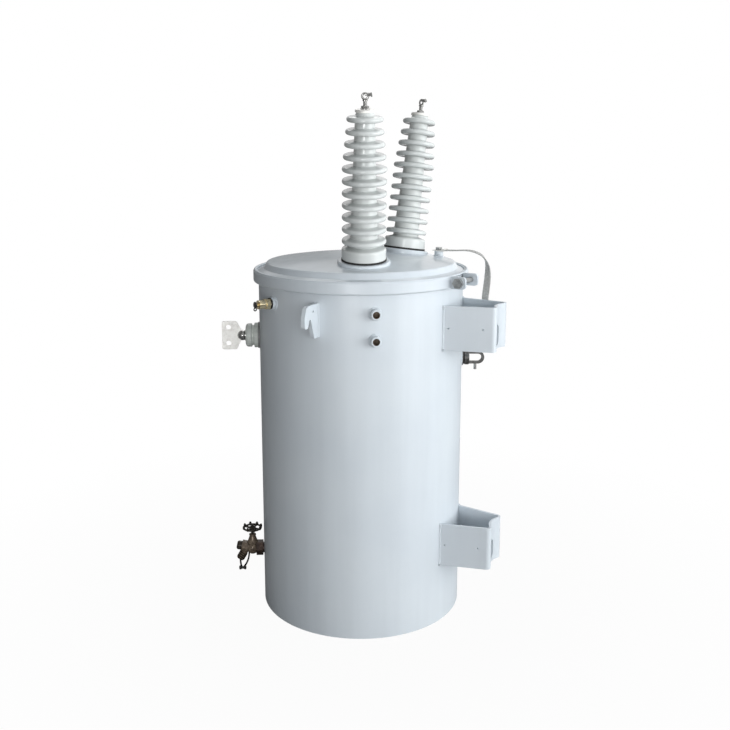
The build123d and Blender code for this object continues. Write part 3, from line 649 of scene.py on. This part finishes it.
RIPPLE_STEP = 0.62
RIPPLE_SHAPE = (0.85, 1.0, 1.0)
HANGER_TOE = degrees(0.076 / TANK_RADIUS) + 0.35
HANGER_BEAD, HANGER_START, HANGER_STOP = 0.0036, 0.0050, 0.0048
BEAD_INSET, END_OVER, END_RUN = 0.002, 0.001, 0.006
LUG_SIDE = {"left": -88.6, "right": 88.6}
LUG_LOW, LUG_HIGH = 0.8055, 0.887
LUG_HALF = degrees(0.0055 / TANK_RADIUS)
LUG_BEAD = 0.0026
SEAM_SIDE, SEAM_LOW, SEAM_HIGH, SEAM_DEEP = 104, 0.03, 0.91, -0.0022
SEAM_BEAD = 0.0046
ARRESTER_RING, ARRESTER_BEAD = 0.0142, 0.0030
RELIEF_RING, RELIEF_BEAD = 0.0158, 0.0032
GROUND_RING, GROUND_BEAD = 0.0216, 0.0030
LID_EDGE, LID_RISE, LID_CROWN = 0.9632, 0.0200, 0.2499
COVER_BOSS = Vector((0.17198, 0.14431, 0.0))
COVER_BOSS_RING, COVER_BOSS_BEAD = 0.0126, 0.0028


def bead(name, spots, size, closed=False):
    """A rippled bead of that size along a line of points."""
    ends = spots[1:] + spots[:1] if closed else spots[1:]
    length = sum((end - start).length for start, end in zip(spots, ends))
    count = max(4, round(length / (size * RIPPLE_STEP)))
    line = new_curve(name + "_line")
    add_spline(line, "POLY", spots).use_cyclic_u = closed
    holder = link(name + "_line", line)
    deselect()
    bpy.ops.mesh.primitive_uv_sphere_add(segments=8, ring_count=5, radius=size)
    piece = made(name)
    with editing(piece):
        bpy.ops.transform.rotate(value=pi / 2, orient_axis="Y", center_override=(0, 0, 0))
        bpy.ops.transform.resize(value=RIPPLE_SHAPE, center_override=(0, 0, 0))
    modifier(piece, "ARRAY", fit_type="FIXED_COUNT", count=count, use_relative_offset=False,
             use_constant_offset=True, constant_offset_displace=(length / count, 0, 0))
    modifier(piece, "CURVE", object=holder, deform_axis="POS_X")
    bpy.data.objects.remove(holder)
    bpy.data.curves.remove(line)
    round_off(piece, 70)
    return piece


def weld(name, spots, size, closed=False):
    """A bead that is painted with the tank."""
    dress(bead(name, spots, size, closed), "tank_paint")


def on_lid(spot):
    """Lift a point to the cover's dome."""
    away = Vector((spot.x, spot.y)).length
    return Vector((spot.x, spot.y, LID_EDGE + LID_RISE * (1 - (away / LID_CROWN) ** 2)))


def hanger_welds():
    """A bead down each foot of both hangers, thicker where it starts and stops."""
    for hanger in ("upper_hanger", "lower_hanger"):
        low, high = [corner.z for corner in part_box(hanger)]
        for side, lean in (("left", -HANGER_TOE), ("right", HANGER_TOE)):
            rise = levels(low + BEAD_INSET, high - BEAD_INSET, 24)
            foot = (low + END_OVER, low + END_RUN)
            head = (high - END_RUN, high + END_OVER)
            run = bead("bead", [on_wall(lean, z) for z in rise], HANGER_BEAD)
            start = bead("bead_start", [on_wall(lean, z) for z in foot], HANGER_START)
            stop = bead("bead_stop", [on_wall(lean, z) for z in head], HANGER_STOP)
            dress(join(f"weld_{hanger}_{side}", [run, start, stop]), "tank_paint")


def lug_and_arrester_welds():
    """Beads round the lifting lugs and the arrester bosses, on both sides."""
    rise = levels(LUG_LOW, LUG_HIGH, 16)
    for side, degree in LUG_SIDE.items():
        up = [on_wall(degree - LUG_HALF, z) for z in rise]
        down = [on_wall(degree + LUG_HALF, z) for z in reversed(rise)]
        weld(f"weld_lug_{side}", up + down, LUG_BEAD, closed=True)
        for level, z in (("high", ARRESTER_HIGH), ("low", ARRESTER_LOW)):
            ring = wall_ring(ARRESTER_SIDE[side], z, ARRESTER_RING)
            weld(f"weld_arrester_{side}_{level}", ring, ARRESTER_BEAD, closed=True)


def boss_and_seam_welds():
    """Beads round the single bosses, and the upright seam at the back of the tank."""
    ring = wall_ring(RELIEF_SIDE, RELIEF_LEVEL, RELIEF_RING)
    weld("weld_relief_boss", ring, RELIEF_BEAD, closed=True)
    seam = [on_wall(SEAM_SIDE, z, SEAM_DEEP) for z in levels(SEAM_LOW, SEAM_HIGH, 60)]
    weld("weld_tank_seam", seam, SEAM_BEAD)
    ring = wall_ring(GROUND_SIDE, GROUND_LEVEL, GROUND_RING)
    weld("weld_ground_pad", ring, GROUND_BEAD, closed=True)
    ring = [on_lid(COVER_BOSS + outward(10 * step) * COVER_BOSS_RING) for step in range(36)]
    weld("weld_cover_boss", ring, COVER_BOSS_BEAD, closed=True)


hanger_welds()
lug_and_arrester_welds()
boss_and_seam_welds()


# Ways to make small turned, threaded and cast pieces

def turn_up(name, rings, sides=32):
    """A round piece: a disc extruded and resized from ring to ring of (radius, height)."""
    radius, height = rings[0]
    deselect()
    bpy.ops.mesh.primitive_circle_add(
        vertices=sides, radius=radius, fill_type="NGON", location=(0, 0, height))
    piece = made(name)
    settle(piece)
    with editing(piece):
        for wide, high in rings[1:]:
            bpy.ops.mesh.extrude_region_move(TRANSFORM_OT_translate={"value": (0, 0, high - height)})
            grow = wide / radius
            bpy.ops.transform.resize(value=(grow, grow, 1), center_override=(0, 0, high))
            radius, height = wide, high
    close_up(piece)
    round_off(piece, 35)
    return piece


def thread(name, radius, pitch, turns, depth):
    """A screw thread: a three sided wire wound along Z."""
    deselect()
    bpy.ops.mesh.primitive_circle_add(
        vertices=3, radius=depth, location=(radius, 0, 0), rotation=(pi / 2, 0, 0))
    piece = made(name)
    settle(piece)
    modifier(piece, "SCREW", axis="Z", angle=2 * pi, screw_offset=pitch, iterations=turns,
             steps=20, render_steps=20)
    with editing(piece):
        bpy.ops.mesh.fill_holes(sides=4)
    close_up(piece)
    round_off(piece, 30)
    return piece


def hoop(name, radius, wire, height=0.0, around=40):
    """A ring of round wire, a little flattened on top and below."""
    deselect()
    bpy.ops.mesh.primitive_torus_add(
        major_radius=radius, minor_radius=wire, major_segments=around, minor_segments=10)
    piece = made(name)
    with editing(piece):
        bpy.ops.transform.resize(value=(1, 1, 0.9), center_override=(0, 0, 0))
        bpy.ops.transform.translate(value=(0, 0, height))
    round_off(piece, 60)
    return piece


def bar(name, start, end, width, height, level, bevel):
    """A flat arm along X with rounded edges."""
    deselect()
    bpy.ops.mesh.primitive_cube_add(
        size=1.0, location=((start + end) / 2, 0, level), scale=(end - start, width, height))
    piece = made(name)
    settle(piece)
    modifier(piece, "BEVEL", width=bevel, segments=2)
    round_off(piece, 50)
    return piece


def ball(name, radius, level, reach=0.0, segments=12, rings=8):
    """A ball at a height on Z, and that far out along X, to be shaped further."""
    deselect()
    bpy.ops.mesh.primitive_uv_sphere_add(
        segments=segments, ring_count=rings, radius=radius, location=(reach, 0, level))
    piece = made(name)
    settle(piece)
    return piece


# Clamp band

CLAMP_BOLT_SIDE = 85
CLAMP_THREAD_RUN = 0.0352


def band_lip():
    """Rolled lip along the top of the clamp band."""
    dress(hoop("band_lip_top", radius=0.2862, wire=0.0030, height=0.9428, around=160), "tank_paint")


def clamp_bolt_thread():
    """Thread on the tail of the clamp bolt."""
    low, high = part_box("clamp_bolt")
    along = outward(CLAMP_BOLT_SIDE)
    tail = (high.y - low.y) / 2 - CLAMP_THREAD_RUN
    wind = thread("clamp_bolt_thread", radius=0.0065, pitch=0.0020, turns=16, depth=0.0008)
    stand(wind, (low + high) / 2 + along * tail, along)
    dress(wind, "galvanized_steel")


# Arrester bosses

LINING = ((0.00895, 0.0042), (0.00895, 0.0214), (0.0084, 0.0214), (0.0084, 0.0047))
GROOVE_SPOT = (0, 0, 0.0046)


def arrester_threads():
    """Bare threaded lining in each arrester boss."""
    for side, degree in ARRESTER_SIDE.items():
        for level, z in (("upper", ARRESTER_HIGH), ("lower", ARRESTER_LOW)):
            lining = turn_up("lining", LINING)
            groove = thread("groove", radius=0.0083, pitch=0.0021, turns=8, depth=0.0007)
            set_at(groove, GROOVE_SPOT)
            piece = join(f"arrester_thread_{level}_{side}", [lining, groove])
            stand(piece, on_wall(degree, z), outward(degree))
            dress(piece, "bronze")


# Drain valve

DRAIN_SIDE, DRAIN_LEVEL = -152.5, 0.138
DRAIN_GLOBE = on_wall(DRAIN_SIDE, DRAIN_LEVEL, 0.033)
DRAIN_SPOUT = on_wall(DRAIN_SIDE, DRAIN_LEVEL, 0.051)
DRAIN_FALL = radians(60)
DRAIN_DOWN = outward(DRAIN_SIDE) * cos(DRAIN_FALL) + Vector((0, 0, -sin(DRAIN_FALL)))
WHEEL_RISE = Vector((0, 0, 0.056))
GRIP_RADIUS, GRIP_REACH, GRIP_LEVEL = 0.0036, 0.0252, 0.0066
GRIP_SHAPE = (0.95, 1.1, 1.75)
WHEEL_HUB = ((0.0062, -0.0035), (0.0088, -0.0025), (0.0098, 0.0), (0.0096, 0.0056), (0.0074, 0.0072))
WHEEL_NUT = ((0.0060, 0.0064), (0.0060, 0.0096), (0.0048, 0.0104))
WHEEL_STEM = ((0.0038, -0.026), (0.0038, 0.0118), (0.0030, 0.0128))
BONNET_CONE = (
    (0.0150, 0.0135), (0.0162, 0.0150), (0.0162, 0.0185), (0.0146, 0.0200),
    (0.0118, 0.0270), (0.0092, 0.0345), (0.0084, 0.0372),
)
BONNET_GLAND = ((0.0092, 0.0370), (0.0098, 0.0376), (0.0098, 0.0418), (0.0084, 0.0428))
SPOUT_END = ((0.0072, 0.0368), (0.0072, 0.0378), (0.0056, 0.0386))
SPOUT_RIBS = (0.0185, 0.0247, 0.0309)
# Reach from the wall and drop below the valve's middle
OUTER_WIRE = ((0.0690, 0.0315), (0.0700, 0.0480), (0.0655, 0.0595))
INNER_WIRE = ((0.0435, 0.0145), (0.0450, 0.0430), (0.0605, 0.0595))
SEAL_PLACE = (0.0632, 0.0610)
WIRE_RADIUS = 0.0027
SEAL_FLAT = (0.62, 1, 1)
SEAL_PRESS = (
    (0.0024, -0.0104), (0.0054, -0.0096), (0.0064, -0.0076), (0.0058, -0.0050), (0.0038, -0.0014),
    (0.0038, 0.0014), (0.0058, 0.0050), (0.0064, 0.0076), (0.0054, 0.0096), (0.0024, 0.0104),
)


def handwheel():
    """Cast wheel: round rim with raised grips, flat arms, hub, nut and stem."""
    rim = hoop("rim", radius=0.0243, wire=0.0030, height=0.0040)
    grip = ball("grip", GRIP_RADIUS, GRIP_LEVEL, GRIP_REACH)
    with editing(grip):
        bpy.ops.transform.resize(value=GRIP_SHAPE, center_override=(GRIP_REACH, 0, GRIP_LEVEL))
    round_off(grip, 70)
    arm = bar("arm", start=0.005, end=0.0235, width=0.0056, height=0.0040, level=0.0034, bevel=0.0012)
    hub = turn_up("hub", WHEEL_HUB)
    nut = turn_up("nut", WHEEL_NUT, sides=6)
    stem = turn_up("stem", WHEEL_STEM, sides=20)
    wheel = join("handwheel", [rim, *all_round(grip, 8), *all_round(arm, 4), hub, nut, stem])
    set_at(wheel, DRAIN_GLOBE + WHEEL_RISE)
    dress(wheel, "bronze", WHEEL_BLACK, "handwheel")
    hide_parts("drain_handwheel")


def bonnet():
    """Tapered bonnet with a flange and a gland nut."""
    cone = turn_up("cone", BONNET_CONE)
    gland = turn_up("gland", BONNET_GLAND, sides=6)
    piece = join("drain_valve_bonnet", [cone, gland])
    set_at(piece, DRAIN_GLOBE)
    dress(piece, "bronze")
    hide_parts("drain_bonnet")


def spout_rings():
    """Thin ribs on the drain's spout plug, in lighter bronze than the dark plug as painted highlight lines.
    """
    rings = [hoop("rib", radius=0.0114, wire=0.0007, height=height) for height in SPOUT_RIBS]
    rings.append(turn_up("rib_end", SPOUT_END, sides=24))
    piece = join("drain_plug_highlight_ribs", rings)
    stand(piece, DRAIN_SPOUT, DRAIN_DOWN)
    # The lighter bronze on the ribs is a painted highlight against the dark plug.
    dress(piece, "bronze")


def by_spout(reach, drop):
    """A point under the valve, by its reach from the wall and its drop below the middle."""
    return on_wall(DRAIN_SIDE, DRAIN_LEVEL - drop, reach)


def bow(first, pull, last, steps=14):
    """Points on a soft arc from first to last, drawn towards pull."""
    spots = []
    for step in range(steps + 1):
        t = step / steps
        spots.append(first * (1 - t) ** 2 + pull * 2 * t * (1 - t) + last * t * t)
    return spots


def valve_seal():
    """Two bowed wires and the pressed seal that holds their ends."""
    bows = [bow(*[by_spout(*knot) for knot in wire]) for wire in (OUTER_WIRE, INNER_WIRE)]
    wires = tube_from("seal_wires", bows, WIRE_RADIUS)
    round_off(wires, 60)
    dress(wires, "lead")
    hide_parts("seal_wire")
    press = turn_up("pressed_seal", SEAL_PRESS, sides=20)
    with editing(press):
        bpy.ops.transform.resize(value=SEAL_FLAT, center_override=(0, 0, 0))
    stand(press, by_spout(*SEAL_PLACE), outward(DRAIN_SIDE))
    dress(press, "lead")
    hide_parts("lead_seal")


# Relief valve

RELIEF_STEM = (
    (0.0036, 0.0400), (0.0036, 0.0468), (0.0050, 0.0474),
    (0.0050, 0.0490), (0.0034, 0.0496), (0.0034, 0.0535),
)
RELIEF_DISC = (
    (0.0036, 0.0530), (0.0078, 0.0531), (0.0088, 0.0537), (0.0088, 0.0551),
    (0.0078, 0.0557), (0.0040, 0.0559), (0.0036, 0.0575), (0.0022, 0.0581),
)
RELIEF_RING_SPOT = (0, -0.0108, 0.0544)


def relief_pull():
    """Thin pull disc with its small ring on a brass stem."""
    spot = on_wall(RELIEF_SIDE, RELIEF_LEVEL)
    out = outward(RELIEF_SIDE)
    stem = turn_up("relief_stem", RELIEF_STEM, sides=24)
    stand(stem, spot, out)
    dress(stem, "brass", body="relief_pull")
    disc = turn_up("disc", RELIEF_DISC)
    ring = hoop("ring", radius=0.0036, wire=0.0015)
    set_at(ring, RELIEF_RING_SPOT, (0, pi / 2, 0))
    piece = join("relief_disc", [disc, ring])
    stand(piece, spot, out)
    dress(piece, "galvanized_steel", DARK_IRON, "relief_pull")
    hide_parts("relief_valve_pull")


# Bushings and ground connector

LV_SIDE = {"left": -152.5, "right": 152.5}
LV_LEVEL = 0.759
DOME_RADIUS, DOME_LEVEL, DOME_CUT = 0.01425, 0.047, 0.0384
LV_WASHER = ((0.0150, 0.0379), (0.0156, 0.0384), (0.0156, 0.0398), (0.0148, 0.0404))
HV_SIDE = {"left": -62.4, "right": 62.4}
HV_REACH, HV_LEVEL, HV_LEAN = 0.154, 0.9837, radians(8.3)
HV_WASHER = ((0.0118, 0.3770), (0.0124, 0.3776), (0.0124, 0.3791), (0.0114, 0.3796))
HV_NUT = ((0.0096, 0.3790), (0.0098, 0.3796), (0.0098, 0.3842), (0.0088, 0.3852))
HV_STUD = ((0.0046, 0.3840), (0.0046, 0.3960), (0.0064, 0.3966), (0.0064, 0.3996), (0.0044, 0.4010))
HV_SCREW = ((0.0030, 0.0060), (0.0030, 0.0135), (0.0052, 0.0137), (0.0052, 0.0168), (0.0044, 0.0174))
HV_CAP = ((0.0226, 0.3700), (0.0246, 0.3708), (0.0246, 0.3756), (0.0238, 0.3768), (0.0140, 0.3775))
HV_THREAD_SPOT = (0, 0, 0.3852)
HV_EYE_SPOT = (0, 0, 0.4080)
HV_SCREW_RISE = 0.25
HV_BLADE_SHIFT = 0.0068
LOCK_RING = ((0.0212, 0.0006), (0.0222, 0.0014), (0.0222, 0.0044), (0.0210, 0.0054))


def low_voltage_nuts():
    """Bright dome nut over a thin washer in front of each low voltage bushing."""
    for side, degree in LV_SIDE.items():
        dome = ball("dome", DOME_RADIUS, DOME_LEVEL, segments=36, rings=22)
        with editing(dome):
            bpy.ops.mesh.bisect(
                plane_co=(0, 0, DOME_CUT), plane_no=(0, 0, 1), clear_inner=True, use_fill=True)
        round_off(dome, 50)
        washer = turn_up("washer", LV_WASHER)
        piece = join(f"lv_dome_nut_{side}", [dome, washer])
        stand(piece, on_wall(degree, LV_LEVEL), outward(degree))
        dress(piece, "tinned_copper", POLISHED_NUT)


def bushing_eye(side, hand):
    """Nut, threaded stud, small eye and clamp screw, along Z from the bushing's seat."""
    washer = turn_up("washer", HV_WASHER)
    nut = turn_up("nut", HV_NUT, sides=6)
    stud = turn_up("stud", HV_STUD)
    wind = thread("wind", radius=0.0046, pitch=0.0016, turns=6, depth=0.0006)
    set_at(wind, HV_THREAD_SPOT)
    eye = hoop("eye", radius=0.0072, wire=0.0026)
    set_at(eye, HV_EYE_SPOT, (0, pi / 2, 0))
    screw = turn_up("screw", HV_SCREW, sides=6)
    stand(screw, HV_EYE_SPOT, (0, hand, HV_SCREW_RISE))
    blade = bar("blade", start=-0.0017, end=0.0017, width=0.0150, height=0.0068, level=0.4128, bevel=0.0008)
    set_at(blade, (0, hand * HV_BLADE_SHIFT, 0))
    return join(f"hv_eye_{side}", [washer, nut, stud, wind, eye, screw, blade])


def bushing_tops():
    """An eye and a cap on top of each high voltage bushing, leaning with it."""
    for side, degree in HV_SIDE.items():
        seat = outward(degree) * HV_REACH + Vector((0, 0, HV_LEVEL))
        lean = (0, HV_LEAN, radians(degree))
        eye = bushing_eye(side, 1 if side == "left" else -1)
        set_at(eye, seat, lean)
        dress(eye, "tinned_copper", POLISHED_NUT)
        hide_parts(f"hv_terminal_{side}")
        cap = turn_up(f"hv_cap_{side}", HV_CAP, sides=48)
        set_at(cap, seat, lean)
        dress(cap, "tinned_copper")


def ground_trim():
    """Dark lock ring at the wall and the knurled grip of the ground connector."""
    ring = turn_up("lock_ring", LOCK_RING, sides=40)
    ridge = bar("ridge", start=0.0192, end=0.0206, width=0.0016, height=0.0104, level=0.0150, bevel=0.0005)
    piece = join("ground_grip", [ring, *all_round(ridge, 40)])
    stand(piece, on_wall(GROUND_SIDE, GROUND_LEVEL), outward(GROUND_SIDE))
    dress(piece, "galvanized_steel", DARK_IRON)


band_lip()
arrester_threads()
handwheel()
bonnet()
spout_rings()
valve_seal()
relief_pull()
low_voltage_nuts()
bushing_tops()
clamp_bolt_thread()
ground_trim()


# Studio

FLOOR_SIZE = 14.0
FLOOR_LEVEL = -0.0005
FLOOR_TONE = (0.22, 0.22, 0.22, 1)
FLOOR_GLOSS = 0.05
SHADOW_TONE, SHADOW_NEAR, SHADOW_FAR = 0.965, 0.45, 1.5
WHITE = (1, 1, 1, 1)
ROOM_TINT = (0.95, 0.98, 1.0, 1)
KEY_SIDE = 25
ROOM_LOW, ROOM_HIGH = 0.03, 3.1
ROOM_FROM, ROOM_TO = -0.3, 0.3
HIGH_SKY = 0.27
SKY_FROM, SKY_TO = 0.1, 0.5
GLOSS_LOW, GLOSS_HIGH = 0.30, 1.0
GLOSS_FROM, GLOSS_TO = -0.05, 0.09
LAMP_AIM = Vector((0, 0, 0.62))
# name, side in degrees, distance, height, size, watts
LAMPS = (
    ("key_lamp", -4, 3.0, 0.6, 2.4, 43.0),
    ("front_lamp", -75, 3.6, 0.9, 0.9, 30.0),
    ("back_lamp", 114, 2.0, 3.6, 2.0, 26.0),
    ("rim_lamp", 132, 3.2, 3.0, 2.2, 9.0),
)


def seen_directly(material):
    """Light path factors for rays that see a surface: from the camera, or by gloss and glass."""
    path = add(material, "LightPath").outputs
    gloss = reckon(material, "MAXIMUM", path["Is Glossy Ray"], path["Is Transmission Ray"])
    return path["Is Camera Ray"], gloss


def mix_shaders(material, fac, first, second, output):
    """Mix two shaders into the output node."""
    mix = add(material, "MixShader", {0: fac, 1: first.outputs[0], 2: second.outputs[0]})
    tree = material.node_tree
    tree.links.new(mix.outputs[0], tree.nodes[output].inputs["Surface"])


def white_floor():
    """Pale floor that keeps the shadow near the object and runs out into white."""
    deselect()
    bpy.ops.mesh.primitive_plane_add(size=FLOOR_SIZE, location=(0, 0, FLOOR_LEVEL))
    floor = made("floor")
    settle(floor)
    pale = finish("floor_white", Base_Color=FLOOR_TONE, Roughness=0.9, Specular_IOR_Level=0.1)
    glow = add(pale, "Emission", {"Color": WHITE, "Strength": 1.0})
    camera_ray, gloss_ray = seen_directly(pale)
    far = add(pale, "VectorMath", {0: place(pale)}, operation="LENGTH").outputs["Value"]
    edge = remap(pale, far, SHADOW_NEAR, SHADOW_FAR, SHADOW_TONE, 1.0)
    near = reckon(pale, "MULTIPLY", camera_ray, edge)
    part = reckon(pale, "MULTIPLY_ADD", gloss_ray, FLOOR_GLOSS, near)
    mix_shaders(pale, part, pale.node_tree.nodes["Principled BSDF"], glow, "Material Output")
    floor.data.materials.append(pale)


def white_room():
    """White seen by the camera, soft light for the object, brighter on the key side."""
    world = bpy.data.worlds.new("studio")
    bpy.context.scene.world = world
    world.use_nodes = True
    plain = world.node_tree.nodes["Background"]
    plain.inputs["Color"].default_value = ROOM_TINT
    white = add(world, "Background", {"Color": WHITE, "Strength": 1.0})
    camera_ray, gloss_ray = seen_directly(world)
    sky = add(world, "TexCoord").outputs["Generated"]
    toward_key = {0: sky, 1: outward(KEY_SIDE)}
    side = add(world, "VectorMath", toward_key, operation="DOT_PRODUCT").outputs["Value"]
    rise = add(world, "SeparateXYZ", {0: sky}).outputs["Z"]
    soft = remap(world, side, ROOM_FROM, ROOM_TO, ROOM_LOW, ROOM_HIGH)
    high = remap(world, rise, SKY_FROM, SKY_TO, 1.0, HIGH_SKY)
    matt = reckon(world, "SUBTRACT", 1.0, gloss_ray)
    lit = reckon(world, "MULTIPLY", reckon(world, "MULTIPLY", soft, high), matt)
    world.node_tree.links.new(lit, plain.inputs["Strength"])
    wall = remap(world, side, GLOSS_FROM, GLOSS_TO, GLOSS_LOW, GLOSS_HIGH)
    shine = reckon(world, "MULTIPLY", gloss_ray, wall)
    seen = reckon(world, "MAXIMUM", camera_ray, shine)
    mix_shaders(world, seen, plain, white, "World Output")


def lamp(name, degree, distance, height, size, watts):
    """A soft square lamp that faces the middle of the tank."""
    spot = outward(degree) * distance + Vector((0, 0, height))
    turn = (LAMP_AIM - spot).to_track_quat("-Z", "Y").to_euler()
    bpy.ops.object.light_add(type="AREA", location=spot, rotation=turn)
    light = made(name)
    light.data.energy = watts
    light.data.size = size


white_floor()
white_room()
for settings in LAMPS:
    lamp(*settings)

bpy.context.scene.view_settings.view_transform = "Standard"
